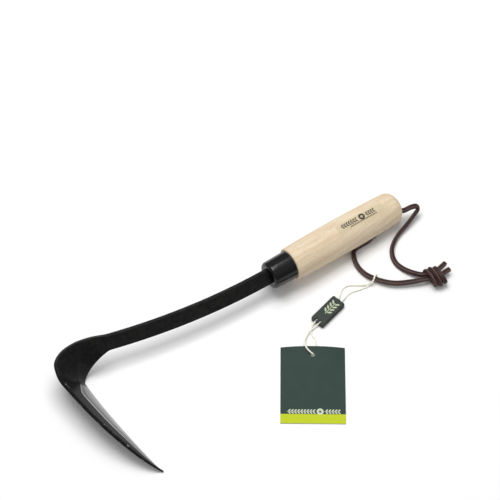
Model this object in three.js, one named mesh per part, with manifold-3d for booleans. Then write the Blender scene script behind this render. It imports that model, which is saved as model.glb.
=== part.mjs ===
// Hand sickle of the Japanese weeding pattern. A flat steel bar is twisted into a broad ground blade and its tang
// sits in a turned wooden handle with a cup ferrule. A leather wrist thong is laced through the butt, and a swing
// tag hangs from the thong on a loop of string with a plastic seal block.
// Units are millimetres and +Z is up. The tool lies as it rests, on the heel and the tip of the blade and on the
// underside of the handle. +X runs along the handle towards the butt. The bench frame that the pieces are placed in
// starts on the ground under the handle's shoulder, and the whole group is moved at the end so that the origin is
// the middle of the tool's own footprint.
import * as THREE from 'three';
import { mergeVertices } from 'three/addons/utils/BufferGeometryUtils.js';
import Module from 'manifold-3d';

const wasm = await Module();
wasm.setup();

const radians = THREE.MathUtils.degToRad;
const vec = (x, y, z) => new THREE.Vector3(x, y, z);
const up = vec(0, 0, 1);

// ---------------------------------------------------------------- driving dimensions
const gap = 0.3;                      // clearance between pieces that fit or meet

const handleLength = 117.5;           // shoulder to butt
const handlePitch = radians(3.6);     // fall of the handle's axis towards the butt
const shoulderRadius = 14.8;
const bellyRadius = 15.8;
const bellyPlace = 55;                // from the shoulder
const buttRadius = 14.7;              // where the dome starts
const domeLength = 11.5;
const domeFullness = 2.4;             // exponent of the dome's curve, 2 is an ellipse
const shoulderRound = 1.2;

const ferruleLength = 22.8;
const ferruleBackRadius = 13;
const ferruleFrontRadius = 12.5;
const ferruleWall = 1.2;
const ferruleRound = 3;               // radius of the front corner

const barLength = 148.7;              // from the ferrule's front to the start of the twist
const barWidth = 14.2;
const barThickness = 4.4;
const barLean = radians(30);          // how far the bar's broad face leans back
const barHeading = radians(1.1);      // turn away from the handle's axis at the ferrule
const barBendRadius = 568;            // slow sideways bend along the bar
const barRise = 4.1;                  // over the bar's length
const barOffset = 0.2;                // sideways, at the ferrule's front

const tangLength = 88;                // from the bar's shoulders to the tang's tip
const tangRootWidth = 10;
const tangTipWidth = 4;
const tangTipThickness = 3;
const shoulderDepth = 5;              // how deep the bar's shoulders sit in the ferrule

const bladeLength = 107;              // heel to tip
const bladeWidth = 35.5;
const bladeHeading = radians(-85.5);  // direction of the cutting edge on the ground
const bladeLean = radians(50);        // the plate's angle from the ground
const bladeThickness = 3.2;
const edgeThickness = 0.5;
const tipThickness = 1.6;
const tipWidth = 1.4;
const edgeHollow = 5.2;               // how far the cutting edge is hollowed between heel and tip
const bevelFullShare = 0.64;          // share of the plate's width that is ground, past the heel
const bevelHeelShare = 0.34;          // the same at the heel

const pinRadius = 1.5;
const pinPlace = 9;                   // in front of the handle's shoulder
const pinDepth = 8;                   // past the handle's axis

const labelLength = 49;
const labelWidth = 8;
const labelStart = 48.5;              // from the shoulder
const labelTurn = radians(7);         // from the top of the handle towards the blade's tip side
const labelThickness = 0.3;

const thongRadius = 2;
const boreRadius = thongRadius + 0.75;
const boreReach = 35.5;               // from the butt to the mouth under the handle
const boreTurn = radians(45);         // how far that mouth is turned down from the handle's side
const boreButt = vec(handleLength - 2, -7.8, 0.5);    // mouth in the dome, in the handle's own frame

const knotCentre = vec(101.8, -75.6, 7);
const knotHeading = radians(-25);
const knotHalf = { length: 9.5, width: 9.5, height: 6.8 };

const stringRadius = 0.55;
const sealLength = 30;
const sealWidth = 13.4;
const sealThickness = 4.8;
const sealCentre = vec(6.1, -48.7, 0.1);
const sealHeading = radians(13);
const sealCorner = 0.8;
const strandSpacing = 3.4;

const cardWidth = 55;
const cardHeight = 72.5;
const cardThickness = 0.8;
const cardHoleRadius = 2;
const cardHoleMargin = 7.7;           // from the card's top edge to the hole's centre
const cardHole = vec(-29.4, -75.3, 0);
const cardHeading = radians(-35.6);
const cardRise = 3;                   // how far the middle of the card's top edge bows up
const cardRiseReach = 45;             // the bow fades out over this distance from the top edge

// ---------------------------------------------------------------- materials
const finish = (color, roughness, metalness = 0) => new THREE.MeshStandardMaterial({ color, roughness, metalness });
const lacqueredSteel = finish('#2b2b2b', 0.42, 0.6);
const lacqueredFerrule = finish('#222224', 0.22, 0.5);
const brightSteel = finish('#a9abad', 0.35, 1);
const paleWood = finish('#e0cdb0', 0.6);
const labelFilm = finish('#d3c7b2', 0.5);
const brownLeather = finish('#40282a', 0.65);
const creamString = finish('#efead2', 0.9);
const greenPlastic = finish('#2e3c31', 0.4);
const greenCard = finish('#3c4c46', 0.6);

// ---------------------------------------------------------------- helpers
const group = new THREE.Group();

function piece(name, geometry, material, parent = group) {
  const mesh = new THREE.Mesh(geometry, material);
  mesh.name = name;
  parent.add(mesh);
  return mesh;
}

function toSolid(geometry) {
  const bare = geometry.clone();
  bare.deleteAttribute('normal');
  bare.deleteAttribute('uv');
  const merged = mergeVertices(bare, 1e-4);
  return new wasm.Manifold(new wasm.Mesh({
    numProp: 3,
    vertProperties: new Float32Array(merged.attributes.position.array),
    triVerts: new Uint32Array(merged.index.array),
  }));
}

function toGeometry(solid) {
  const mesh = solid.getMesh();
  const geometry = new THREE.BufferGeometry();
  geometry.setAttribute('position', new THREE.BufferAttribute(mesh.vertProperties, 3));
  geometry.setIndex(new THREE.BufferAttribute(mesh.triVerts, 1));
  geometry.computeVertexNormals();
  return geometry;
}

const cutAway = (body, ...cutters) =>
  toGeometry(cutters.reduce((rest, cutter) => rest.subtract(toSolid(cutter)), toSolid(body)));

// A closed solid of revolution about +X, from [x, radius] points that start and end on the axis.
function turned(profile, sides = 48) {
  const points = profile.map(([x, radius]) => new THREE.Vector2(radius, x));
  return new THREE.LatheGeometry(points, sides).rotateZ(-Math.PI / 2);
}

// A plain rod between two points.
function rod(from, to, radius, sides = 20) {
  const run = to.clone().sub(from);
  const turn = new THREE.Quaternion().setFromUnitVectors(vec(0, 1, 0), run.clone().normalize());
  const middle = from.clone().add(to).multiplyScalar(0.5);
  return new THREE.CylinderGeometry(radius, radius, run.length(), sides).applyQuaternion(turn)
    .translate(middle.x, middle.y, middle.z);
}

// A tube of many-sided section along a smooth route.
function tube(points, radius, sides, steps) {
  const corners = Array.from({ length: sides }, (_, i) => 2 * Math.PI * i / sides);
  const section = new THREE.Shape(corners.map((a) => new THREE.Vector2(radius * Math.cos(a), radius * Math.sin(a))));
  const path = new THREE.CatmullRomCurve3(points.map(([x, y, z]) => vec(x, y, z)));
  return new THREE.ExtrudeGeometry(section, { steps, extrudePath: path });
}

// A flat outline raised to a thickness.
const raised = (shape, depth, curveSegments = 6) =>
  new THREE.ExtrudeGeometry(shape, { depth, bevelEnabled: false, curveSegments });

function roundedRectangle(length, width, corner) {
  const x = length / 2;
  const y = width / 2;
  const shape = new THREE.Shape();
  shape.moveTo(corner - x, -y);
  shape.absarc(x - corner, corner - y, corner, -Math.PI / 2, 0);
  shape.absarc(x - corner, y - corner, corner, 0, Math.PI / 2);
  shape.absarc(corner - x, y - corner, corner, Math.PI / 2, Math.PI);
  shape.absarc(corner - x, corner - y, corner, Math.PI, 1.5 * Math.PI);
  return shape;
}

const steps = (count) => Array.from({ length: count + 1 }, (_, i) => i / count);
const mix = THREE.MathUtils.lerp;
const smooth = (x) => THREE.MathUtils.smoothstep(x, 0, 1);

// ---------------------------------------------------------------- handle
const domeStart = handleLength - domeLength;

function handleRadius(x) {
  if (x <= bellyPlace) {
    return bellyRadius - (bellyRadius - shoulderRadius) * ((bellyPlace - x) / bellyPlace) ** 2;
  }
  if (x <= domeStart) {
    return bellyRadius - (bellyRadius - buttRadius) * ((x - bellyPlace) / (domeStart - bellyPlace)) ** 2;
  }
  const share = (x - domeStart) / domeLength;
  return buttRadius * Math.max(0, 1 - share ** domeFullness) ** (1 / domeFullness);
}

// The axis is as high as the handle needs to just touch the ground with its underside.
const axisHeight = Math.max(...steps(200).map((share) => {
  const x = share * handleLength;
  return x * Math.sin(handlePitch) + handleRadius(x) * Math.cos(handlePitch);
}));
const axisPoint = (x) => vec(x * Math.cos(handlePitch), 0, axisHeight - x * Math.sin(handlePitch));

const grip = new THREE.Group();
grip.position.copy(axisPoint(0));
grip.rotation.y = handlePitch;
group.add(grip);
grip.updateMatrixWorld(true);
const toGrip = grip.matrixWorld.clone().invert();

const ferruleRadius = (x) => mix(ferruleBackRadius, ferruleFrontRadius, -x / ferruleLength);
const spigotRadius = (x) => ferruleRadius(x) - ferruleWall - gap;
const spigotFront = -(ferruleLength - ferruleWall - gap);

// ---------------------------------------------------------------- forging: tang, bar, twist and blade
// Each station holds the foot and head of the steel's back face, the thickness, how much of the section is
// bevelled towards the foot, and where the bevel ends.
function barStation(centre, run, width, thickness) {
  const sideways = run.clone().cross(up).normalize();
  const upright = sideways.clone().cross(run).normalize();
  const wide = sideways.clone().multiplyScalar(Math.sin(barLean)).addScaledVector(upright, Math.cos(barLean));
  const front = wide.clone().cross(run).normalize();
  const back = centre.clone().addScaledVector(front, -thickness / 2);
  return {
    foot: back.clone().addScaledVector(wide, -width / 2),
    head: back.clone().addScaledVector(wide, width / 2),
    thickness,
    bevel: 0,
    bevelShare: 0.5,
  };
}

const ferruleFront = axisPoint(-ferruleLength);
const barPoint = (d) => vec(
  ferruleFront.x - d,
  barOffset + d * Math.tan(barHeading) + d * d / (2 * barBendRadius),
  ferruleFront.z + barRise * d / barLength,
);
const barRun = (d) => vec(-1, Math.tan(barHeading) + d / barBendRadius, barRise / barLength).normalize();

const tangRoot = -ferruleLength + shoulderDepth;
const tangRun = axisPoint(-1).sub(axisPoint(0));

function tangStations(slack = 0) {
  return [1, 0.75, 0.5, 0.25, 0.02].map((share) => {
    const width = mix(tangRootWidth, tangTipWidth, share) + 2 * slack;
    const thickness = mix(barThickness, tangTipThickness, share) + 2 * slack;
    const overrun = share === 1 ? slack : 0;
    return barStation(axisPoint(tangRoot + share * tangLength + overrun), tangRun, width, thickness);
  });
}

function rootStations(slack = 0) {
  const inside = axisPoint(tangRoot + slack);
  return [
    barStation(inside, tangRun, barWidth + 2 * slack, barThickness + 2 * slack),
    barStation(barPoint(0), barRun(0), barWidth + 2 * slack, barThickness + 2 * slack),
  ];
}

const barStations = steps(14).slice(1).map((share) => {
  const d = share * barLength;
  return barStation(barPoint(d), barRun(d), barWidth, barThickness);
});

// The twist runs from the bar's end to the blade's heel. Its foot comes down to the ground, and the plate fans
// out from it: [azimuth, elevation] in degrees and the share of the way from the bar's width to the blade's.
const barEnd = barPoint(barLength);
const footOffsets = [[-7, -2.5, -7.2], [-13, -1.9, -11.2], [-18.9, -1.5, -16.2], [-24.1, -2.3, -21], [-28.7, -5.3, -24.4]];
const fan = [[112, 46.5, 0.24], [130, 40.5, 0.57], [145, 39.5, 0.87], [159, 42, 1.05], [173, 46.5, 1.04]];
const direction = (azimuth, elevation) => vec(
  Math.cos(azimuth) * Math.cos(elevation),
  Math.sin(azimuth) * Math.cos(elevation),
  Math.sin(elevation),
);

const bladeRun = vec(Math.cos(bladeHeading), Math.sin(bladeHeading), 0);
const bladeOut = vec(bladeRun.y, -bladeRun.x, 0);
const bladeUp = bladeOut.clone().multiplyScalar(Math.cos(bladeLean)).addScaledVector(up, Math.sin(bladeLean));
const bladeFront = bladeUp.clone().cross(bladeRun).normalize();
const heel = vec(barEnd.x - 31.6, barEnd.y - 9.1, 0);

const bladePoint = (a, b) => heel.clone().addScaledVector(bladeRun, a).addScaledVector(bladeUp, b);
const bladeOutline = (a) =>
  Math.max(tipWidth, bladeWidth * Math.max(0, 1 - (a / bladeLength) ** 2.6) ** 0.8);
const bladeHollow = (a) => edgeHollow * (4 * (a / bladeLength) * (1 - a / bladeLength)) ** 0.7;

const bladeStations = steps(22).map((share) => {
  const a = bladeLength * (1 - (1 - share) ** 1.25);
  const foot = Math.min(bladeHollow(a), bladeOutline(a) - tipWidth);
  return {
    foot: bladePoint(a, Math.max(0, foot)),
    head: bladePoint(a, bladeOutline(a)),
    thickness: mix(bladeThickness, tipThickness, smooth((a / bladeLength - 0.6) / 0.4)),
    bevel: 1,
    bevelShare: mix(bevelHeelShare, bevelFullShare, smooth(a / (0.16 * bladeLength))),
  };
});

const twistFoot = footOffsets.map(([x, y, z]) => barEnd.clone().add(vec(x, y, z)));
const twistHead = fan.map(([azimuth, elevation, share], i) => twistFoot[i].clone().addScaledVector(
  direction(radians(azimuth), radians(elevation)), mix(barWidth, bladeWidth, share)));

// A smooth run through the twist's points that leaves the bar and meets the blade without a kink.
function twistCurve(edge, middle) {
  const before = barStations[barStations.length - 2][edge];
  const start = barStations[barStations.length - 1][edge];
  const points = [before, start, ...middle, bladeStations[0][edge], bladeStations[3][edge]];
  const curve = new THREE.CatmullRomCurve3(points);
  const first = 1 / (points.length - 1);
  return (share) => curve.getPoint(first + share * (1 - 2 * first));
}
const footCurve = twistCurve('foot', twistFoot);
const headCurve = twistCurve('head', twistHead);
const twistStations = steps(18).slice(1, -1).map((share) => ({
  foot: footCurve(share),
  head: headCurve(share),
  thickness: mix(barThickness, bladeThickness, smooth(share)),
  bevel: smooth((share - 0.55) / 0.45),
  bevelShare: mix(0.5, bevelHeelShare, smooth(share)),
}));

// Lofts a strip of steel through its stations: a back face, and a front face at the section's thickness.
function loft(stations, plainNormal = null) {
  const last = stations.length - 1;
  const at = (i, t) => stations[i].foot.clone().lerp(stations[i].head, t);
  const positions = [];
  stations.forEach((station, i) => {
    const { thickness, bevel, bevelShare } = station;
    const lines = [0, bevelShare / 2, bevelShare, (1 + bevelShare) / 2, 1];
    const wide = station.head.clone().sub(station.foot).normalize();
    const back = lines.map((t) => at(i, t));
    const front = lines.map((t, k) => {
      const run = at(Math.min(last, i + 1), t).sub(at(Math.max(0, i - 1), t)).normalize();
      const normal = plainNormal ?? wide.clone().cross(run).normalize();
      const ground = bevel * Math.max(0, 1 - t / bevelShare) * (thickness - edgeThickness);
      return back[k].clone().addScaledVector(normal, thickness - ground);
    });
    for (const point of [...back, ...front.reverse()]) positions.push(point.x, point.y, point.z);
  });
  const ring = 10;
  const index = [];
  const quad = (a, b, c, d) => index.push(a, c, b, a, d, c);
  for (let i = 0; i < last; i += 1) {
    for (let k = 0; k < ring; k += 1) {
      const next = (k + 1) % ring;
      quad(i * ring + k, i * ring + next, (i + 1) * ring + next, (i + 1) * ring + k);
    }
  }
  for (let k = 0; k < ring / 2 - 1; k += 1) {
    const mate = ring - 1 - k;
    quad(mate, mate - 1, k + 1, k);
    const end = last * ring;
    quad(end + k, end + k + 1, end + mate - 1, end + mate);
  }
  const geometry = new THREE.BufferGeometry();
  geometry.setAttribute('position', new THREE.Float32BufferAttribute(positions, 3));
  geometry.setIndex(index);
  geometry.computeVertexNormals();
  return geometry;
}

const forging = loft([...tangStations(), ...rootStations(), ...barStations, ...twistStations, ...bladeStations]);

// The pin crosses the tang's broad face from below and behind, and stops short in the wood.
const pinFoot = barStation(axisPoint(-pinPlace), tangRun, barWidth, barThickness);
const pinDirection = pinFoot.head.clone().sub(pinFoot.foot).normalize().cross(tangRun).normalize();
const pinAt = (distance) => axisPoint(-pinPlace).addScaledVector(pinDirection, distance);
const pinHead = -ferruleRadius(-pinPlace);
const pinHole = rod(pinAt(pinHead - 2), pinAt(pinDepth + gap), pinRadius + gap);
piece('blade_forging', cutAway(forging, pinHole), lacqueredSteel);
piece('tang_pin', rod(pinAt(pinHead + gap), pinAt(pinDepth), pinRadius), brightSteel);

// ---------------------------------------------------------------- ferrule, handle and label
const ferruleCorner = ferruleRadius(-ferruleLength) - ferruleRound;
const cornerArc = (radius) => steps(5).map((share) => {
  const angle = share * Math.PI / 2;
  return [
    -ferruleLength + ferruleRound - radius * Math.sin(angle),
    ferruleCorner + radius * Math.cos(angle),
  ];
});
const innerRound = ferruleRound - ferruleWall;
const ferruleProfile = [
  [-ferruleLength, 0],
  ...cornerArc(ferruleRound).reverse(),
  [-gap, ferruleBackRadius],
  [-gap, ferruleBackRadius - ferruleWall],
  ...cornerArc(innerRound),
  [-ferruleLength + ferruleWall, 0],
];
const inGrip = (geometry) => geometry.applyMatrix4(toGrip);
const slotCutter = () => {
  const outside = barStation(barPoint(6), barRun(6), barWidth + 2 * gap, barThickness + 2 * gap);
  return inGrip(loft([...rootStations(gap), outside]));
};
const tangCutter = () => inGrip(loft([...tangStations(gap), ...rootStations(gap)]));
const gripPinHole = () => inGrip(pinHole.clone());
piece('ferrule', cutAway(turned(ferruleProfile), slotCutter(), gripPinHole()), lacqueredFerrule, grip);

const spigotRound = ferruleRound - ferruleWall;
const bodyShares = steps(16).slice(1);
const domeShares = steps(10).slice(1);
const handleProfile = [
  [spigotFront, 0],
  [spigotFront, spigotRadius(spigotFront) - spigotRound],
  [spigotFront + spigotRound, spigotRadius(spigotFront)],
  [0, spigotRadius(0)],
  [0, shoulderRadius - shoulderRound],
  [0.3 * shoulderRound, shoulderRadius - 0.3 * shoulderRound],
  ...bodyShares.map((share) => mix(shoulderRound, domeStart, share)).map((x) => [x, handleRadius(x)]),
  ...domeShares.map((share) => domeStart + domeLength * Math.sin(share * Math.PI / 2))
    .map((x) => [x, handleRadius(x)]),
];
const mouthPlace = handleLength - boreReach;
const mouthRadius = handleRadius(mouthPlace);
const mouth = vec(mouthPlace, -mouthRadius * Math.cos(boreTurn), -mouthRadius * Math.sin(boreTurn));
const boreRun = boreButt.clone().sub(mouth).normalize();
const boreAt = (point, distance) => point.clone().addScaledVector(boreRun, distance);
const bore = rod(boreAt(mouth, -14), boreAt(boreButt, 8), boreRadius, 24);
piece('handle', cutAway(turned(handleProfile), tangCutter(), gripPinHole(), bore), paleWood, grip);

// The label wraps the handle's top: a thin curved sheet that follows the handle's profile.
function labelSheet() {
  const along = 12;
  const around = 6;
  const sheet = new THREE.BoxGeometry(labelLength, labelWidth, labelThickness, along, around, 1);
  const position = sheet.attributes.position;
  for (let i = 0; i < position.count; i += 1) {
    const x = labelStart + labelLength / 2 + position.getX(i);
    const radius = handleRadius(x) + gap + labelThickness / 2 + position.getZ(i);
    const angle = labelTurn - position.getY(i) / bellyRadius;
    position.setXYZ(i, x, -radius * Math.sin(angle), radius * Math.cos(angle));
  }
  return sheet;
}
piece('handle_label', labelSheet(), labelFilm, grip);

// ---------------------------------------------------------------- wrist thong
const thongSides = 10;
const inBench = (point) => point.clone().applyMatrix4(grip.matrixWorld).toArray();
const boreLength = boreButt.distanceTo(mouth);
// The legs turn as they leave the mouths, so the piece in the bore ends this far inside each mouth.
const thongStop = 0.6 * thongRadius + gap;
piece('thong_in_handle', tube([
  inBench(boreAt(mouth, thongStop)),
  inBench(boreAt(mouth, boreLength / 2)),
  inBench(boreAt(mouth, boreLength - thongStop)),
], thongRadius, thongSides, 4), brownLeather);

const frontLeg = [
  inBench(mouth),
  [77, -10.8, 3.2],
  [71.4, -10.3, 2.3],
  [65.6, -10.4, 2.2],
  [60.8, -12.3, 2.2],
  [57.4, -17.5, 2.2],
  [55, -24.2, 2.2],
  [54.5, -30.7, 2.2],
  [55.6, -38.1, 2.8],
  [57.8, -43.9, 3.6],
  [61, -49.7, 4.2],
  [65.4, -55.5, 4.6],
  [71.6, -61, 4.8],
  [81.7, -66.8, 5.2],
  [88.5, -70.2, 5.8],
  [92.2, -71.7, 6.2],
];
piece('thong_front_leg', tube(frontLeg, thongRadius, thongSides, 26), brownLeather);

const backLeg = [
  inBench(boreButt),
  [119.2, -8.3, 12.9],
  [123.4, -8.7, 13],
  [127.9, -9.3, 12.6],
  [131.1, -10.4, 11.4],
  [131.2, -12.3, 9.4],
  [127.4, -13.7, 7.6],
  [120, -16.1, 5.6],
  [112.2, -18.2, 3.9],
  [104.1, -20.5, 2.8],
  [95.8, -24.6, 2.3],
  [89.5, -29.9, 2.2],
  [85.4, -37, 2.2],
  [84.2, -44.2, 2.2],
  [85.8, -52, 2.8],
  [89.4, -59.8, 4],
  [94.6, -67.2, 5.6],
];
piece('thong_back_leg', tube(backLeg, thongRadius, thongSides, 28), brownLeather);

// The knot's outer shape: an egg of revolution, turned to lie along the thong and flattened.
function knotBody() {
  const profile = steps(12).map((share) => {
    const angle = share * Math.PI;
    return [-knotHalf.length * Math.cos(angle), knotHalf.width * Math.sin(angle)];
  });
  return turned(profile, 24).scale(1, 1, knotHalf.height / knotHalf.width).rotateZ(knotHeading)
    .translate(knotCentre.x, knotCentre.y, knotCentre.z);
}
piece('thong_knot', knotBody(), brownLeather);
piece('thong_tail_a', tube([[111.5, -71.5, 7.6], [114.3, -70.7, 7.4], [117, -69.9, 7]],
  thongRadius, thongSides, 2), brownLeather);
piece('thong_tail_b', tube([[112.3, -76.4, 6.4], [114.7, -76.4, 6.2], [117.2, -76.3, 5.9]],
  thongRadius, thongSides, 2), brownLeather);

// ---------------------------------------------------------------- tag string and seal
const stringSides = 8;
const upperLoop = [
  [16.4, -44.6, 2.5],
  [20.4, -43.6, 2.5],
  [24.5, -41.2, 1.7],
  [28.7, -37.6, 0.9],
  [33, -36.2, 0.65],
  [37, -36.9, 0.65],
  [41.3, -39.4, 0.65],
  [46, -43, 1.2],
  [51, -46.2, 2.8],
  [55.2, -47.4, 5.4],
  [58.6, -45.6, 6.9],
  [61.9, -43.9, 5.2],
  [62.3, -43.7, 2.6],
  [60.2, -44.8, 0.8],
  [56.4, -46.6, 0.65],
  [51.3, -47.3, 0.65],
  [45.5, -46.4, 0.65],
  [40.2, -45.2, 0.65],
  [35, -44, 0.65],
  [30.4, -44.2, 0.9],
  [25.5, -45.9, 1.7],
  [21.2, -47, 2.5],
  [17.2, -47.9, 2.5],
];
piece('tag_string_upper', tube(upperLoop, stringRadius, stringSides, 60), creamString);

const lowerLoop = [
  [-4.2, -52.8, 2.5],
  [-8.1, -53.7, 2.5],
  [-12.6, -54.2, 2.3],
  [-17.5, -55, 2.2],
  [-21.5, -56.6, 2.1],
  [-25.2, -58.8, 2.6],
  [-28.2, -61.6, 3.6],
  [-30, -65.2, 4.7],
  [-30.8, -69.4, 5.3],
  [-30.3, -73.4, 5],
  [-29.5, -75.2, 3.9],
  [-29.3, -75.4, 2.7],
  [-28.6, -74.7, 1.3],
  [-26.8, -73, 0.7],
  [-23.4, -70.4, 0.65],
  [-20, -67.4, 0.65],
  [-18.2, -63.4, 0.65],
  [-18.2, -59.4, 0.65],
  [-17, -56, 0.65],
  [-14.6, -52.9, 0.85],
  [-11.8, -51, 1.9],
  [-8.8, -50.3, 2.5],
  [-5, -49.5, 2.5],
];
piece('tag_string_lower', tube(lowerLoop, stringRadius, stringSides, 60), creamString);

// Two channels run through the seal block, one for each strand.
function sealBlock() {
  const block = raised(roundedRectangle(sealLength, sealWidth, sealCorner), sealThickness);
  const channels = [-0.5, 0.5].map((side) => rod(
    vec(-sealLength, side * strandSpacing, sealThickness / 2),
    vec(sealLength, side * strandSpacing, sealThickness / 2),
    stringRadius + gap, 12));
  return cutAway(block, ...channels).rotateZ(sealHeading).translate(sealCentre.x, sealCentre.y, sealCentre.z);
}
piece('seal_block', sealBlock(), greenPlastic);

// ---------------------------------------------------------------- swing tag
// The card lies flat, with the middle of its top edge bowed up where the string passes under it.
function card() {
  const sheet = new THREE.BoxGeometry(cardWidth, cardHeight, cardThickness, 16, 16, 1);
  const hole = new THREE.CylinderGeometry(cardHoleRadius, cardHoleRadius, 12, 20).rotateX(Math.PI / 2)
    .translate(0, cardHeight / 2 - cardHoleMargin, 0);
  const position = sheet.attributes.position;
  for (let i = 0; i < position.count; i += 1) {
    const across = 2 * position.getX(i) / cardWidth;
    const fromTop = cardHeight / 2 - position.getY(i);
    const bow = cardRise * (1 - across ** 2) * Math.max(0, 1 - fromTop / cardRiseReach) ** 2;
    position.setZ(i, position.getZ(i) + cardThickness / 2 + bow);
  }
  return cutAway(sheet, hole).translate(0, cardHoleMargin - cardHeight / 2, 0).rotateZ(cardHeading)
    .translate(cardHole.x, cardHole.y, cardHole.z);
}
piece('swing_tag', card(), greenCard);

// ---------------------------------------------------------------- origin under the middle of the tool
const onTheCord = /^(thong|tag_string|seal|swing)/;
const footprint = new THREE.Box3();
group.updateMatrixWorld(true);
group.traverse((node) => {
  if (node.isMesh && !onTheCord.test(node.name)) footprint.expandByObject(node, true);
});
const middle = footprint.getCenter(vec(0, 0, 0));
group.position.set(-middle.x, -middle.y, -footprint.min.z);

export default group;
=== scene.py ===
# %% [markdown]
# # A short weeding sickle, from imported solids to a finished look
#
# The tool is a flat steel bar, twisted and forged out into a broad blade, with its tang in a turned
# wooden handle. A leather lace is threaded through the butt and knotted, and a swing tag hangs from
# it on a loop of string.
#
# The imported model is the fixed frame: it says where every part is and how large it may be. Each
# piece below is built in that frame as a finer mesh, with a material worked out from what the real
# finish is.

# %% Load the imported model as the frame
import math

import bpy
import numpy as np
from mathutils import Matrix, Vector


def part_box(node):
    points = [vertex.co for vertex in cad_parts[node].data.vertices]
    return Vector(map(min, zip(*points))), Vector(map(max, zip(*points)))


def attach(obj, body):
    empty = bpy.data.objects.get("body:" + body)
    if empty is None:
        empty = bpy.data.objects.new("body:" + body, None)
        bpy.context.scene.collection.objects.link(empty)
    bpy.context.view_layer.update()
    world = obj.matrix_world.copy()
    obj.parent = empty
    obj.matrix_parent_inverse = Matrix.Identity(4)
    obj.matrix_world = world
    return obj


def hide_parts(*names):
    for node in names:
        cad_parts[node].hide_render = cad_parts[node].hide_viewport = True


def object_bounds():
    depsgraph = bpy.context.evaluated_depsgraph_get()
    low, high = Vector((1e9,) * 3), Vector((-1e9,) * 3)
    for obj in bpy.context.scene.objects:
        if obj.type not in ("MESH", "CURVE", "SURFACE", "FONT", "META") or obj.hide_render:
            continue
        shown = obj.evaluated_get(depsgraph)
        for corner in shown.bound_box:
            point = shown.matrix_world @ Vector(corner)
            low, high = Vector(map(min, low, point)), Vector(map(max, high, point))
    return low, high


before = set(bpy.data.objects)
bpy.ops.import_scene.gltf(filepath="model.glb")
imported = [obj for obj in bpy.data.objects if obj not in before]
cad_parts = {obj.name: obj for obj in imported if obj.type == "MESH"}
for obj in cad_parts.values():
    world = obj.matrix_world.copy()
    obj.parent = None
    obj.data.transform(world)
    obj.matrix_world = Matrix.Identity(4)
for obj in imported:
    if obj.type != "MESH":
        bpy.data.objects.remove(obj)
cad_low, cad_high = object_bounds()
size_mm = [round(1000 * side, 1) for side in cad_high - cad_low]
print("packed model", size_mm, "mm, nodes", len(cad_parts))

# %% [markdown]
# ## Where things are
#
# The part was drawn on a bench frame, in millimetres: its origin is on the ground under the
# handle's shoulder, +X runs to the butt and +Z is up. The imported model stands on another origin, so
# one known point tells how far the bench frame was moved. The knot's solid is symmetrical about its
# centre, so the middle of its box is that point.

# %% The bench frame
MM = 0.001
knot_centre = np.array([101.8, -75.6, 7.0])
knot_low, knot_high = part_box("thong_knot")
bench_origin = np.array((knot_low + knot_high) / 2) / MM - knot_centre


def placed(points):
    """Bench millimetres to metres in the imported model's frame."""
    return (np.asarray(points, float) + bench_origin) * MM


print("bench origin at", bench_origin.round(2), "mm")

# %% [markdown]
# ## Camera
#
# The tool lies on a table and is looked at from above and from the blade's side, with a long lens
# that hardly narrows the far end. The camera is set by what it aims at, by two angles and by its
# distance, as a tripod is.

# %% A long lens, aimed at the floor behind the tool
aim = Vector((0.0422, 0.0713, 0))
camera_turn, camera_height = math.radians(-35), math.radians(58)
camera_distance = 1.7634
back = Vector((
    math.sin(camera_turn) * math.cos(camera_height),
    -math.cos(camera_turn) * math.cos(camera_height),
    math.sin(camera_height),
))
lens = bpy.data.cameras.new("camera")
lens.lens, lens.sensor_width = 144, 36
camera = bpy.data.objects.new("camera", lens)
camera.location = aim + camera_distance * back
camera.rotation_euler = (math.pi / 2 - camera_height, 0, camera_turn)
bpy.context.scene.collection.objects.link(camera)
bpy.context.scene.camera = camera
print("camera at", tuple(round(x, 3) for x in camera.location))

# %% [markdown]
# ## One way to make a surface: rings
#
# The bar, the handle, the lace and the string are all long things with a section that changes
# slowly. So most pieces are skinned over rings of points: neighbouring rings are joined by quads,
# and each end is closed by a fan. Every skin gets a map in millimetres, along the piece and around
# it, which the patterns are drawn on.

# %% Skin a mesh over rings of points
def new_piece(name, mesh, material, body):
    piece = bpy.data.objects.new(name, mesh)
    bpy.context.scene.collection.objects.link(piece)
    mesh.materials.append(material)
    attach(piece, body)
    return piece


def spacing(points):
    """How far along a line each of its points is."""
    steps = np.linalg.norm(np.diff(points, axis=0), axis=1)
    return np.concatenate([[0], np.cumsum(steps)])


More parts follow.
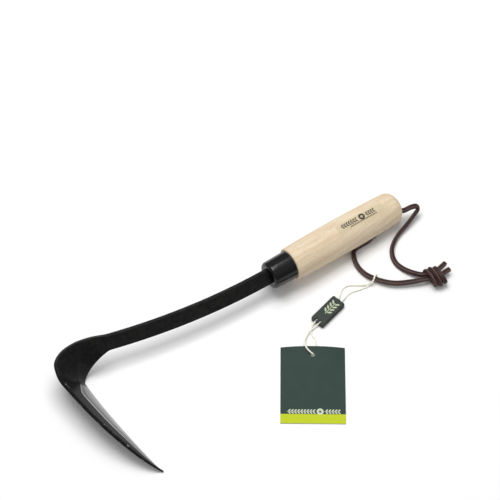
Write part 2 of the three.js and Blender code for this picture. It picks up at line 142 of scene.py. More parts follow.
def skinned(name, rings, marks=None):
    """A closed mesh over rings of bench points, with a map in millimetres and named marks on its points."""
    rings = np.asarray(rings, float)
    count, around = rings.shape[:2]
    ends = rings[[0, -1]].mean(1)
    points = np.concatenate([rings.reshape(-1, 3), ends])
    here = np.arange(around)
    after = (here + 1) % around
    faces = []
    for i in range(count - 1):
        low, high = i * around, (i + 1) * around
        faces += [(low + a, low + b, high + b, high + a) for a, b in zip(here, after)]
    first, last = count * around, count * around + 1
    top = (count - 1) * around
    faces += [(first, b, a) for a, b in zip(here, after)]
    faces += [(last, top + a, top + b) for a, b in zip(here, after)]
    mesh = bpy.data.meshes.new(name)
    mesh.from_pydata(placed(points).tolist(), [], [tuple(int(v) for v in face) for face in faces])
    along = spacing(rings.mean(1))
    widest = int(np.linalg.norm(np.ptp(rings, axis=1), axis=1).argmax())
    round_it = spacing(np.concatenate([rings[widest], rings[widest][:1]]))
    where = mesh.uv_layers.new(name="run").data
    for face in mesh.polygons:
        for corner in face.loop_indices:
            vertex = mesh.loops[corner].vertex_index
            if vertex >= first:
                where[corner].uv = (along[0] if vertex == first else along[-1], 0)
                continue
            i, k = divmod(vertex, around)
            seam = k == 0 and len(face.vertices) == 4 and any(v % around == around - 1 for v in face.vertices)
            where[corner].uv = (along[i], round_it[around if seam else k])
    for mark, values in (marks or {}).items():
        layer = mesh.attributes.new(mark, "FLOAT", "POINT")
        ends_too = np.concatenate([np.asarray(values, float).reshape(-1), [0, 0]])
        layer.data.foreach_set("value", ends_too.astype(np.float32))
    mesh.shade_smooth()
    mesh.update()
    return mesh


def settled(piece, sharp=32):
    """Applies the modifiers, keeps edges over that many degrees sharp and weights the shading by face."""
    graph = bpy.context.evaluated_depsgraph_get()
    mesh = bpy.data.meshes.new_from_object(piece.evaluated_get(graph))
    piece.modifiers.clear()
    piece.data = mesh
    mesh.shade_smooth()
    mesh.set_sharp_from_angle(angle=math.radians(sharp))
    weighted = piece.modifiers.new("weighted", "WEIGHTED_NORMAL")
    weighted.keep_sharp = True
    return piece


def cut(piece, *cutters):
    """Takes the cutters' shapes out of the piece and removes the cutters."""
    for cutter in cutters:
        bpy.context.scene.collection.objects.link(cutter)
        boolean = piece.modifiers.new("cut", "BOOLEAN")
        boolean.operation, boolean.solver, boolean.object = "DIFFERENCE", "EXACT", cutter
    bpy.context.view_layer.update()
    settled(piece)
    for cutter in cutters:
        bpy.data.objects.remove(cutter)
    return piece


# %% [markdown]
# ## Smooth runs
#
# The cords and the twist of the blade follow a few chosen points. The curve through them is a
# centripetal Catmull-Rom curve, which passes through each point and makes no loops where they lie
# close together.

# %% A curve through points, and a line along it with even steps
def between(points, place):
    """The point that far along, counted in points, on a centripetal Catmull-Rom curve."""
    points = np.asarray(points, float)
    last = len(points) - 1
    i = min(int(place), last - 1)
    w = place - i
    b, c = points[i], points[i + 1]
    a = points[i - 1] if i > 0 else 2 * points[0] - points[1]
    d = points[i + 2] if i + 2 <= last else 2 * points[last] - points[last - 1]
    ab, bc, cd = (math.sqrt(np.linalg.norm(q - p)) for p, q in ((a, b), (b, c), (c, d)))
    leave = ((b - a) / ab - (c - a) / (ab + bc) + (c - b) / bc) * bc
    meet = ((c - b) / bc - (d - b) / (bc + cd) + (d - c) / cd) * bc
    return b + leave * w + (3 * (c - b) - 2 * leave - meet) * w**2 + (leave + meet - 2 * (c - b)) * w**3


def evenly(points, step):
    """Points along the curve, about that many millimetres apart."""
    fine = np.array([between(points, t) for t in np.linspace(0, len(points) - 1, 24 * len(points))])
    along = spacing(fine)
    at = np.linspace(0, along[-1], max(3, round(along[-1] / step) + 1))
    return np.stack([np.interp(at, along, fine[:, k]) for k in range(3)], axis=1)


def swept(line, section, turns_every=None, first_up=(0, 0, 1)):
    """Rings of that section along a line. It keeps its lie, or turns once in that many millimetres."""
    line = np.asarray(line, float)
    runs = np.gradient(line, axis=0)
    runs /= np.linalg.norm(runs, axis=1)[:, None]
    side = np.cross(first_up, runs[0])
    along = spacing(line)
    rings = []
    for centre, run, distance in zip(line, runs, along):
        side = side - run * (side @ run)
        side /= np.linalg.norm(side)
        up = np.cross(run, side)
        turn = 2 * math.pi * distance / turns_every if turns_every else 0
        across = math.cos(turn) * side + math.sin(turn) * up
        over = math.cos(turn) * up - math.sin(turn) * side
        rings.append(centre + section[:, :1] * across + section[:, 1:] * over)
    return np.array(rings)


print("curve helpers ready")

# %% [markdown]
# ## Colours and nodes
#
# A finish is described by the colour that the eye sees, as an sRGB hex value, and Blender's shader
# wants linear light. One function turns the first into the second. A second one adds any shader
# node, with its settings by name and a value, a colour or another node's output for each of its
# inputs. A third one does the same for the sockets of the surface shader itself. Patterns are drawn
# on the object's own place in millimetres.

# %% Linear colour, one node, one surface
def linear(code):
    parts = [int(code[i:i + 2], 16) / 255 for i in (1, 3, 5)]
    return (*(c / 12.92 if c <= 0.04045 else ((c + 0.055) / 1.055) ** 2.4 for c in parts), 1)


def plug(material, socket, value):
    if isinstance(value, bpy.types.NodeSocket):
        material.node_tree.links.new(value, socket)
    else:
        socket.default_value = linear(value) if isinstance(value, str) else value


def add(material, kind, inputs=(), out=0, **settings):
    """Adds a node and returns one of its outputs. Its inputs come in order, or by number or name."""
    node = material.node_tree.nodes.new("ShaderNode" + kind)
    for name, value in settings.items():
        setattr(node, name, value)
    for socket, value in inputs.items() if isinstance(inputs, dict) else enumerate(inputs):
        plug(material, node.inputs[socket], value)
    return node.outputs[out]


def surface(material, **sockets):
    """Sets the surface shader's sockets, which are named with _ for a space."""
    shader = material.node_tree.nodes["Principled BSDF"]
    for name, value in sockets.items():
        plug(material, shader.inputs[name.replace("_", " ")], value)


def new_finish(name, **sockets):
    material = bpy.data.materials.new(name)
    material.use_nodes = True
    surface(material, **sockets)
    return material


SMOOTH = {"interpolation_type": "SMOOTHSTEP"}
PER_MM = (1 / MM, 1 / MM, 1 / MM)
RGBA = {"data_type": "RGBA"}


def in_millimetres(material):
    """Where each point of a surface is, in millimetres, for patterns whose scale is a real size."""
    return add(material, "Mapping", {"Vector": add(material, "TexCoord", out=3), "Scale": PER_MM})


print("node helpers ready")

# %% [markdown]
# ## Leather lace
#
# The wrist thong is a square-cut leather lace, 4 mm across, drum-dyed dark brown and waxed. The
# flat sides are grain leather with a soft shine, and the cut corners are polished paler by
# handling. Pores and creases are a few tenths of a millimetre, so the bump is fine, and a broader
# mottle keeps the colour from looking like paint.

# %% Waxed brown leather
def waxed_leather():
    m = new_finish("waxed_brown_leather", Metallic=0.0, IOR=1.46, Specular_IOR_Level=0.3)
    lie = in_millimetres(m)
    broad = add(m, "TexNoise", {"Vector": lie, "Scale": 1 / 7, "Detail": 2.0})
    pores = add(m, "TexNoise", {"Vector": lie, "Scale": 1 / 0.5, "Detail": 3.0})
    mottle = add(m, "MapRange", [broad, 0.35, 0.68], **SMOOTH)
    brown = add(m, "Mix", {0: mottle, 6: "#1f1312", 7: "#33201e"}, 2, **RGBA)
    corner = add(m, "Attribute", attribute_name="rim", out=2)
    worn = add(m, "MapRange", [pores, 0.3, 0.62, 0.25, 1.0], **SMOOTH)
    rubbed = add(m, "Math", [corner, worn], operation="MULTIPLY")
    rubbed = add(m, "Math", [rubbed, 0.7], operation="MULTIPLY")
    colour = add(m, "Mix", {0: rubbed, 6: brown, 7: "#866661"}, 2, **RGBA)
    rough = add(m, "MapRange", [pores, 0.3, 0.7, 0.42, 0.62], **SMOOTH)
    bump = add(m, "Bump", {"Height": pores, "Distance": 0.12 * MM, "Strength": 0.7})
    surface(m, Base_Color=colour, Roughness=rough, Normal=bump)
    return m


leather = waxed_leather()
print("leather ready")

# %% [markdown]
# The lace lies as it was dropped. One leg comes out under the handle and sweeps round on the table,
# and the other rises from the hole in the butt, folds over and comes down to the knot. Both are one
# lace on the real thing, so the same section is swept along each: a square with well rounded
# corners. The corners carry the mark that the leather uses for its paler rim.

# %% The lace's section and the two legs
handle_length, handle_pitch = 117.5, math.radians(3.6)
shoulder_radius, belly_radius, belly_place = 14.8, 15.8, 55.0
butt_radius, dome_length, dome_fullness = 14.7, 11.5, 2.4
dome_start = handle_length - dome_length


def handle_radius(x):
    if x <= belly_place:
        return belly_radius - (belly_radius - shoulder_radius) * ((belly_place - x) / belly_place) ** 2
    if x <= dome_start:
        towards_butt = (x - belly_place) / (dome_start - belly_place)
        return belly_radius - (belly_radius - butt_radius) * towards_butt ** 2
    share = min(1, (x - dome_start) / dome_length)
    return butt_radius * max(0, 1 - share**dome_fullness) ** (1 / dome_fullness)


axis_height = max(
    x * math.sin(handle_pitch) + handle_radius(x) * math.cos(handle_pitch)
    for x in np.linspace(0, handle_length, 201)
)


def from_grip(points):
    """Points in the handle's own frame, with +X down its axis from the shoulder, to bench points."""
    x, y, z = np.moveaxis(np.asarray(points, float), -1, 0)
    c, s = math.cos(handle_pitch), math.sin(handle_pitch)
    return np.stack([x * c + z * s, y, axis_height - x * s + z * c], axis=-1)


bore_place, bore_turn = handle_length - 35.5, math.radians(45)
mouth_side = np.array([math.cos(bore_turn), math.sin(bore_turn)])
bore_mouth = np.array([bore_place, *(-handle_radius(bore_place) * mouth_side)])
bore_butt = np.array([handle_length - 2, -7.8, 0.5])
lace_width, lace_thickness = 4.1, 3.7


def squarish(width, thickness, count, fullness):
    """A section between an ellipse (fullness 2) and a rectangle, and how near each point is to a corner."""
    angles = 2 * math.pi * (np.arange(count) + 0.5) / count
    c, s = np.cos(angles), np.sin(angles)
    reach = (np.abs(c) ** fullness + np.abs(s) ** fullness) ** (-1 / fullness)
    section = np.stack([width / 2 * reach * c, thickness / 2 * reach * s], axis=1)
    return section, np.abs(np.sin(2 * angles)) ** 6


lace_points, lace_fullness = 20, 4.5
lace_section, lace_rim = squarish(lace_width, lace_thickness, lace_points, lace_fullness)


def lace(name, route, body="tool", step=1.0):
    """A stretch of lace along bench points: the piece and the line down its middle."""
    line = evenly(route, step)
    rings = swept(line, lace_section)
    mesh = skinned(name, rings, {"rim": np.tile(lace_rim, (len(line), 1))})
    return new_piece(name, mesh, leather, body), line


front_route = [
    from_grip(bore_mouth),
    [77, -10.8, 3.2], [71.4, -10.3, 2.3], [65.6, -10.4, 2.2], [60.8, -12.3, 2.2], [57.4, -17.5, 2.2],
    [55, -24.2, 2.2], [54.5, -30.7, 2.2], [55.6, -38.1, 2.8], [57.8, -43.9, 3.6], [61, -49.7, 4.2],
    [65.4, -55.5, 4.6], [71.6, -61, 4.8], [81.7, -66.8, 5.2], [88.5, -70.2, 5.8], [92.2, -71.7, 6.2],
    [99, -74.4, 6.2], [106, -76.4, 5.8],
]
back_route = [
    from_grip(bore_butt),
    [119.2, -8.3, 12.9], [123.4, -8.7, 13], [127.9, -9.3, 12.6], [131.1, -10.4, 11.4], [131.2, -12.3, 9.4],
    [127.4, -13.7, 7.6], [120, -16.1, 5.6], [112.2, -18.2, 3.9], [104.1, -20.5, 2.8], [95.8, -24.6, 2.3],
    [89.5, -29.9, 2.2], [85.4, -37, 2.2], [84.2, -44.2, 2.2], [85.8, -52, 2.8], [89.4, -59.8, 4],
    [94.6, -67.2, 5.6], [100, -70.9, 7.4], [106, -72.4, 8.4],
]
front_leg, front_line = lace("lace_front_leg", front_route)
back_leg, back_line = lace("lace_back_leg", back_route)
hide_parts("thong_front_leg")
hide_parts("thong_back_leg")

bore_shares = (0.02, 0.5, 0.98)
inner_route = from_grip([bore_mouth + (bore_butt - bore_mouth) * share for share in bore_shares])
inner_lace, _ = lace("lace_in_handle", inner_route)
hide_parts("thong_in_handle")
print("lace legs", round(spacing(front_line)[-1]), "and", round(spacing(back_line)[-1]), "mm")

# %% [markdown]
# ## The knot
#
# Both legs are tied together in one overhand knot, which was pulled tight. What shows is the lace
# wrapped three times round its own core, each turn leaning across the knot, with the two cut ends
# coming out at the far side. The turns are drawn as one leaning coil, drawn in at both ends so that
# it closes round the legs, which run on inside it as the core.

# %% Three leaning turns and the two cut ends
knot_heading = math.radians(-25)
knot_along = np.array([math.cos(knot_heading), math.sin(knot_heading), 0])
knot_across = np.array([-math.sin(knot_heading), math.cos(knot_heading), 0])
wrap_reach, wrap_height, wrap_lean, wrap_step, wrap_turns = 7.6, 4.7, 2.3, 4.1, 3.0
wrap_draw, wrap_draw_power = 0.55, 6


def wrapped(share):
    """A point of the coil, from 0 at the legs' side to 1 at the far side."""
    angle = 2 * math.pi * wrap_turns * share - math.pi / 2
    belly = 1 - wrap_draw * abs(2 * share - 1) ** wrap_draw_power
    place = wrap_step * wrap_turns * (share - 0.5) - wrap_lean * math.cos(angle)
    across, height = wrap_reach * belly * math.cos(angle), wrap_height * belly * math.sin(angle)
    return knot_centre + place * knot_along + across * knot_across + np.array([0, 0, height])


coil_line = evenly([wrapped(share) for share in np.linspace(0, 1, 61)], 0.8)
coil_outward = np.array([0, 0, -1.0])
coil_rings = swept(coil_line, lace_section, first_up=coil_outward)
coil_mesh = skinned("knot_turns", coil_rings, {"rim": np.tile(lace_rim, (len(coil_line), 1))})
knot_turns = new_piece("knot_turns", coil_mesh, leather, "tool")
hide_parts("thong_knot")

end_a_route = [[103.8, -73, 8.6], [109, -72, 9], [113.5, -70.9, 8.2], [117, -69.9, 7.2]]
end_b_route = [[104.2, -77, 6.6], [109.2, -76.7, 6.6], [113.4, -76.4, 6.2], [117.2, -76.3, 5.9]]
tail_a, _ = lace("lace_end_a", end_a_route, step=0.7)
tail_b, _ = lace("lace_end_b", end_b_route, step=0.7)
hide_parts("thong_tail_a")
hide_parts("thong_tail_b")
print("knot turns", round(spacing(coil_line)[-1]), "mm of lace")

# %% [markdown]
# ## Tag string
#
# The tag hangs on soft cotton string, 1.1 mm thick, laid up from two yarns. Two round yarns twisted
# together make a section like a figure of eight that turns once every few millimetres, so that is
# what is swept along the loops. It is drawn wider than it is, 1.7 mm over the crowns and 1.1 mm
# across the waist, so that the lay shows. Unbleached cotton is a warm off-white, rough, with a
# little sheen from loose fibres.

# %% Unbleached cotton
def cotton():
    m = new_finish(
        "unbleached_cotton", Metallic=0.0, Roughness=0.9, IOR=1.5, Specular_IOR_Level=0.2, Sheen_Weight=0.3,
        Sheen_Roughness=0.6,
    )
    lie = in_millimetres(m)
    fibres = add(m, "TexNoise", {"Vector": lie, "Scale": 1 / 0.25, "Detail": 3.0})
    shade = add(m, "MapRange", [fibres, 0.3, 0.62], **SMOOTH)
    colour = add(m, "Mix", {0: shade, 6: "#f1edd8", 7: "#fffdf2"}, 2, **RGBA)
    bump = add(m, "Bump", {"Height": fibres, "Distance": 0.06 * MM, "Strength": 0.6})
    surface(m, Base_Color=colour, Normal=bump)
    return m


string_cotton = cotton()
string_radius, yarn_radius, lay_length = 0.85, 0.5, 4.4
string_points, string_step = 14, 0.45
lobes = 2 * math.pi * np.arange(string_points) / string_points
lobe_side = np.sign(np.cos(lobes)) * np.abs(np.cos(lobes)) ** 0.5
string_section = np.stack([
    (string_radius - yarn_radius) * lobe_side + yarn_radius * np.cos(lobes),
    1.1 * yarn_radius * np.sin(lobes),
], axis=1)


def string(name, route, body):
    line = evenly(route, string_step)
    line[:, 2] = np.maximum(line[:, 2], string_radius)
    mesh = skinned(name, swept(line, string_section, turns_every=lay_length))
    piece = new_piece(name, mesh, string_cotton, body)
    return piece, line


# %% The loop round the lace and the loop through the card
upper_route = [
    [16.4, -44.6, 2.5], [20.4, -43.6, 2.5], [24.5, -41.2, 1.7], [28.7, -37.6, 0.9], [33, -36.2, 0.65],
    [37, -36.9, 0.65], [41.3, -39.4, 0.65], [46, -43, 1.2], [51, -46.2, 2.8], [55.2, -47.4, 5.4],
    [58.6, -45.6, 6.9], [61.9, -43.9, 5.2], [62.3, -43.7, 2.6], [60.2, -44.8, 0.8], [56.4, -46.6, 0.65],
    [51.3, -47.3, 0.65], [45.5, -46.4, 0.65], [40.2, -45.2, 0.65], [35, -44, 0.65], [30.4, -44.2, 0.9],
    [25.5, -45.9, 1.7], [21.2, -47, 2.5], [17.2, -47.9, 2.5],
]
lower_route = [
    [-4.2, -52.8, 2.5], [-8.1, -53.7, 2.5], [-12.6, -54.2, 2.3], [-17.5, -55, 2.2], [-21.5, -56.6, 2.1],
    [-25.2, -58.8, 2.6], [-28.2, -61.6, 3.6], [-30, -65.2, 4.7], [-30.8, -69.4, 5.3], [-30.3, -73.4, 5],
    [-29.5, -75.2, 3.9], [-29.3, -75.4, 2.7], [-28.6, -74.7, 1.3], [-26.8, -73, 0.7], [-23.4, -70.4, 0.65],
    [-20, -67.4, 0.65], [-18.2, -63.4, 0.65], [-18.2, -59.4, 0.65], [-17, -56, 0.65], [-14.6, -52.9, 0.85],
    [-11.8, -51, 1.9], [-8.8, -50.3, 2.5], [-5, -49.5, 2.5],
]
upper_string, upper_line = string("tag_string_round_lace", upper_route, "tag_string")
lower_string, lower_line = string("tag_string_through_card", lower_route, "tag_string")
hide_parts("tag_string_upper")
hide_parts("tag_string_lower")
print("string loops", round(spacing(upper_line)[-1]), "and", round(spacing(lower_line)[-1]), "mm")

# %% [markdown]
# ## The forging
#
# Blade, twist, bar and tang are one piece of carbon steel. The smith draws the bar out flat, twists
# it on edge and spreads the end into a broad plate, then grinds a long shallow bevel on the inside
# of the curve. It is built the same way: stations along the steel, each with the foot and the head
# of its back face, a thickness, and how much of the front is ground away towards the foot. The
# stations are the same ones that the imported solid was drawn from, only closer together, and every
# corner is eased as forging and polishing ease it.

# %% Driving sizes of the steel, in millimetres
ferrule_length, ferrule_back_radius, ferrule_front_radius = 22.8, 13.0, 12.5
ferrule_wall, ferrule_round = 1.2, 3.0
bar_length, bar_width, bar_thickness, bar_lean = 148.7, 14.2, 4.4, math.radians(30)
bar_heading, bar_bend_radius, bar_rise, bar_offset = math.radians(1.1), 568.0, 4.1, 0.2
tang_length, tang_root_width, tang_tip_width, tang_tip_thickness, shoulder_depth = 88.0, 10.0, 4.0, 3.0, 5.0
blade_length, blade_width, blade_heading = 107.0, 35.5, math.radians(-85.5)
blade_lean, blade_thickness, edge_thickness = math.radians(50), 3.2, 0.5
tip_thickness, tip_width, edge_hollow = 1.6, 1.4, 5.2
bevel_full, bevel_heel = 0.64, 0.34
fit = 0.3
UP = np.array([0, 0, 1.0])


def unit(v):
    return v / np.linalg.norm(v)


def smoothstep(x):
    x = min(1, max(0, x))
    return x * x * (3 - 2 * x)


def bar_station(centre, run, width, thickness):
    """One section of the bar.

    It is the foot and the head of the back face, the thickness, the bevel and its share, bare and chipped.
    """
    sideways = unit(np.cross(run, UP))
    upright = unit(np.cross(sideways, run))
    wide = sideways * math.sin(bar_lean) + upright * math.cos(bar_lean)
    back_face = centre - unit(np.cross(wide, run)) * thickness / 2
    return back_face - wide * width / 2, back_face + wide * width / 2, thickness, 0.0, 0.5, 0.0, 0.0


ferrule_front = from_grip([-ferrule_length, 0, 0])
tang_run = unit(from_grip([-1, 0, 0]) - from_grip([0, 0, 0]))


def bar_point(d):
    sideways = bar_offset + d * math.tan(bar_heading) + d * d / (2 * bar_bend_radius)
    return np.array([ferrule_front[0] - d, sideways, ferrule_front[2] + bar_rise * d / bar_length])


def bar_run(d):
    return unit(np.array([-1, math.tan(bar_heading) + d / bar_bend_radius, bar_rise / bar_length]))


def tang(slack=0.0):
    root = -ferrule_length + shoulder_depth
    for share in (1, 0.75, 0.5, 0.25, 0.02):
        width = tang_root_width + (tang_tip_width - tang_root_width) * share + 2 * slack
        thickness = bar_thickness + (tang_tip_thickness - bar_thickness) * share + 2 * slack
        end = slack if share == 1 else 0
        yield bar_station(from_grip([root + share * tang_length + end, 0, 0]), tang_run, width, thickness)


def shoulders(slack=0.0):
    inside = from_grip([-ferrule_length + shoulder_depth + slack, 0, 0])
    yield bar_station(inside, tang_run, bar_width + 2 * slack, bar_thickness + 2 * slack)
    yield bar_station(bar_point(0), bar_run(0), bar_width + 2 * slack, bar_thickness + 2 * slack)


BAR_STATIONS = 74
bar = [
    bar_station(bar_point(d), bar_run(d), bar_width, bar_thickness)
    for d in np.linspace(2, bar_length, BAR_STATIONS)
]
print("bar stations", len(bar))

# %% The blade's outline and its stations
bar_end = bar_point(bar_length)
blade_run = np.array([math.cos(blade_heading), math.sin(blade_heading), 0])
blade_out = np.array([blade_run[1], -blade_run[0], 0])
blade_up = blade_out * math.cos(blade_lean) + UP * math.sin(blade_lean)
heel_from_bar_end = (-31.6, -9.1, 0)
heel = bar_end * (1, 1, 0) + heel_from_bar_end
outline_taper, outline_round = 2.6, 0.8
tip_crowding, hollow_fullness, taper_start = 1.25, 0.7, 0.6
bevel_fade, grind_fade = 0.16, 0.08
BLADE_STATIONS = 111


def blade_outline(a):
    return max(tip_width, blade_width * max(0, 1 - (a / blade_length) ** outline_taper) ** outline_round)


def blade_station(share):
    a = blade_length * (1 - (1 - share) ** tip_crowding)
    hollow = edge_hollow * (4 * (a / blade_length) * max(0, 1 - a / blade_length)) ** hollow_fullness
    foot = max(0, min(hollow, blade_outline(a) - tip_width))
    taper = smoothstep((a / blade_length - taper_start) / (1 - taper_start))
    ground = bevel_heel + (bevel_full - bevel_heel) * smoothstep(a / (bevel_fade * blade_length))
    on_edge = heel + blade_run * a
    thickness = blade_thickness + (tip_thickness - blade_thickness) * taper
    bare = smoothstep(a / blade_length / grind_fade)
    return on_edge + blade_up * foot, on_edge + blade_up * blade_outline(a), thickness, 1.0, ground, bare, 1.0


blade = [blade_station(share) for share in np.linspace(0, 1, BLADE_STATIONS)]
print("blade stations", len(blade))

# %% [markdown]
# Between bar and blade the steel turns over by a right angle and fans out. The foot of the twist
# comes down to the ground through five points, and from each of them the plate stands up in its own
# direction, wider each time.

# %% The twist
foot_steps = [
    (-7, -2.5, -7.2), (-13, -1.9, -11.2), (-18.9, -1.5, -16.2), (-24.1, -2.3, -21), (-28.7, -5.3, -24.4),
]
fan = [(112, 46.5, 0.24), (130, 40.5, 0.57), (145, 39.5, 0.87), (159, 42, 1.05), (173, 46.5, 1.04)]


def direction(azimuth, elevation):
    a, e = math.radians(azimuth), math.radians(elevation)
    return np.array([math.cos(a) * math.cos(e), math.sin(a) * math.cos(e), math.sin(e)])


twist_foot = [bar_end + np.array(step) for step in foot_steps]
twist_head = [
    foot + direction(azimuth, elevation) * (bar_width + (blade_width - bar_width) * share)
    for foot, (azimuth, elevation, share) in zip(twist_foot, fan)
]
ahead_of_end = bar_length * 13 / 14
before_twist = bar_station(bar_point(ahead_of_end), bar_run(ahead_of_end), bar_width, bar_thickness)
into_blade = blade_station(3 / 22)
TWIST_STATIONS = 60


def twist():
    """Stations of the twist, without its first and last, which the bar and the blade already have."""
    runs = [
        [before_twist[edge], bar[-1][edge], *middle, blade[0][edge], into_blade[edge]]
        for edge, middle in ((0, twist_foot), (1, twist_head))
    ]
    last = len(runs[0]) - 1
    for share in np.linspace(0, 1, TWIST_STATIONS)[1:-1]:
        foot, head = (between(points, 1 + share * (last - 2)) for points in runs)
        thickness = bar_thickness + (blade_thickness - bar_thickness) * smoothstep(share)
        bevel = smoothstep((share - 0.55) / 0.45)
        yield foot, head, thickness, bevel, 0.5 + (bevel_heel - 0.5) * smoothstep(share), 0.0, share


stations = [*tang(), *shoulders(), *bar, *twist(), *blade]
print("stations in all", len(stations))

# %% [markdown]
# Each station's section has five corners: the back face's two, the head's front corner, the line
# where the bevel starts, and the cutting edge. Each corner is rounded by a small curve, with the
# same number of points at every station so that the rings join up, and the flats between them are
# divided so that the twist stays smooth.

# %% Rounded sections
EASED = 4
FLATS = (8, 2, 6, 8, 2)


def eased_section(width, thickness, bevel, share):
    """The section as (across, out) points, with marks: corners, the ground face and the way across it."""
    foot_thickness = thickness - bevel * (thickness - edge_thickness)
    corners = np.array([
        (0, 0), (width, 0), (width, thickness), (share * width, thickness), (0, foot_thickness),
    ])
    most = 0.45 * min(foot_thickness, share * width, (1 - share) * width, thickness)
    radii = np.minimum([0.7 - 0.5 * bevel, 0.6, 0.75, 0.5, 0.7 - 0.5 * bevel], most)
    before, after = np.roll(corners, 1, axis=0), np.roll(corners, -1, axis=0)
    points, edges, ground, way = [], [], [], []
    for k, (corner, radius) in enumerate(zip(corners, radii)):
        start, end = corner + unit(before[k] - corner) * radius, corner + unit(after[k] - corner) * radius
        for t in np.linspace(0, 1, EASED):
            points.append((1 - t) ** 2 * start + 2 * t * (1 - t) * corner + t * t * end)
            edges.append(1.0 if k != 3 else 0.0)
            ground.append(1.0 if k == 4 or k == 3 and t > 0.5 else 0.0)
            way.append(1.0 if k == 4 else 0.0)
        upcoming = after[k] + unit(corner - after[k]) * radii[(k + 1) % 5]
        for t in np.linspace(0, 1, FLATS[k] + 1)[1:-1]:
            points.append(end + (upcoming - end) * t)
            edges.append(0.0)
            ground.append(1.0 if k == 3 else 0.0)
            way.append(t if k == 3 else 0.0)
    return np.array(points), edges, ground, way


def forged(chosen):
    """Rings and marks through stations. The section stands square to the run of the steel at each point."""
    rings, edges, ground, way = [], [], [], []
    for i, (foot, head, thickness, bevel, share, bare, chipped) in enumerate(chosen):
        (foot_before, head_before), (foot_after, head_after) = (
            chosen[k][:2] for k in (max(0, i - 1), min(len(chosen) - 1, i + 1))
        )
        width = np.linalg.norm(head - foot)
        wide = (head - foot) / width
        section, corner_marks, ground_marks, way_marks = eased_section(width, thickness, bevel, share)
        ring = []
        for across, out in section:
            t = across / width
            after = foot_after + (head_after - foot_after) * t
            run = unit(after - foot_before - (head_before - foot_before) * t)
            ring.append(foot + wide * across + unit(np.cross(wide, run)) * out)
        rings.append(ring[::-1])
        edges.append([mark * chipped for mark in corner_marks[::-1]])
        ground.append([mark * bare for mark in ground_marks[::-1]])
        way.append(way_marks[::-1])
    return np.array(rings), {"corner": edges, "ground": ground, "way": way}


rings, marks = forged(stations)
forging_mesh = skinned("forging", rings, marks)
print("forging", len(forging_mesh.polygons), "faces")

# %% [markdown]
# ## Lacquer and ground steel
#
# The forging is blacked with a thin baked lacquer that follows the scale of the forging, so it
# shines softly and not evenly. It is chipped to bare steel in small nicks along the outer edge. The
# bevel is ground after blacking: bare carbon steel with fine lines along the blade from the belt.
# One darker band beside the lacquer is a painted reflection of the hollow there. One shader carries
# both, and the mark on the ground face says which is which.

# %% Black lacquer with a ground bevel
def lacquered_forging():
    m = new_finish("black_lacquer_on_forged_steel", IOR=1.5, Specular_IOR_Level=0.07)
    lie = in_millimetres(m)
    belt = add(m, "Mapping", {"Vector": add(m, "UVMap", uv_map="run"), "Scale": (1 / 60, 1, 1)})
    scale = add(m, "TexNoise", {"Vector": lie, "Scale": 1 / 4, "Detail": 4.0})
    fine = add(m, "TexNoise", {"Vector": lie, "Scale": 1 / 1.1, "Detail": 3.0})
    chips = add(m, "TexNoise", {"Vector": lie, "Scale": 1 / 3.2, "Detail": 3.0})
    lines = add(m, "TexNoise", {"Vector": belt, "Scale": 1 / 0.35, "Detail": 4.0})
    bands = add(m, "TexNoise", {"Vector": belt, "Scale": 1 / 2.6, "Detail": 2.0})

    mark = add(m, "Attribute", attribute_name="ground", out=2)
    ragged = add(m, "Math", [fine, 0.12, -0.06], operation="MULTIPLY_ADD")
    ragged = add(m, "Math", [mark, ragged], operation="ADD")
    ground = add(m, "MapRange", [ragged, 0.42, 0.58], **SMOOTH)
    corner = add(m, "Attribute", attribute_name="corner", out=2)
    corner = add(m, "MapRange", [corner, 0.5, 0.9], **SMOOTH)
    chipped = add(m, "MapRange", [chips, 0.61, 0.66, 0.0, 0.8], **SMOOTH)
    chipped = add(m, "Math", [corner, chipped], operation="MULTIPLY")
    bare = add(m, "Math", [ground, chipped], operation="MAXIMUM")

    thin = add(m, "MapRange", [scale, 0.35, 0.7], **SMOOTH)
    black = add(m, "Mix", {0: thin, 6: "#1a1a1a", 7: "#232322"}, 2, **RGBA)
    broad = add(m, "MapRange", [bands, 0.35, 0.65], **SMOOTH)
    steel = add(m, "Mix", {0: broad, 6: "#8f9090", 7: "#bcbdbc"}, 2, **RGBA)
    scratched = add(m, "MapRange", [lines, 0.4, 0.75, 0, 0.5], **SMOOTH)
    steel = add(m, "Mix", {0: scratched, 6: steel, 7: "#7a7c7d"}, 2, **RGBA)
    # A darker band across the bevel beside the lacquer: painted reflection of the hollow in the grind.
    way = add(m, "Attribute", attribute_name="way", out=2)
    wander = add(m, "Math", [bands, 0.24, -0.12], operation="MULTIPLY_ADD")
    way = add(m, "Math", [way, wander], operation="ADD")
    began = add(m, "MapRange", [way, 0.08, 0.18], **SMOOTH)
    ended = add(m, "MapRange", [way, 0.5, 0.28], **SMOOTH)
    hollow_reflection_band = add(m, "Math", [began, ended], operation="MULTIPLY")
    hollow_reflection_band = add(m, "Math", [hollow_reflection_band, 0.75], operation="MULTIPLY")
    steel = add(m, "Mix", {0: hollow_reflection_band, 6: steel, 7: "#4c4d4d"}, 2, **RGBA)
    colour = add(m, "Mix", {0: bare, 6: black, 7: steel}, 2, **RGBA)
    soft = add(m, "MapRange", [scale, 0.3, 0.7, 0.28, 0.34], **SMOOTH)
    worn = add(m, "MapRange", [lines, 0.3, 0.7, 0.38, 0.55], **SMOOTH)
    rough = add(m, "Mix", {0: bare, 2: soft, 3: worn})
    height = add(m, "Mix", {0: bare, 2: scale, 3: lines})
    bump = add(m, "Bump", {"Height": height, "Distance": 0.06 * MM, "Strength": 0.4})
    surface(m, Base_Color=colour, Metallic=bare, Roughness=rough, Normal=bump)
    return m


forged_steel = lacquered_forging()
forging = new_piece("forging", forging_mesh, forged_steel, "tool")
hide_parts("blade_forging")


def pin_line():
    """The tang pin's line: through the tang's broad face, from below and behind."""
    middle = from_grip([-9, 0, 0])
    foot, head = bar_station(middle, tang_run, bar_width, bar_thickness)[:2]
    return middle, unit(np.cross(unit(head - foot), tang_run))


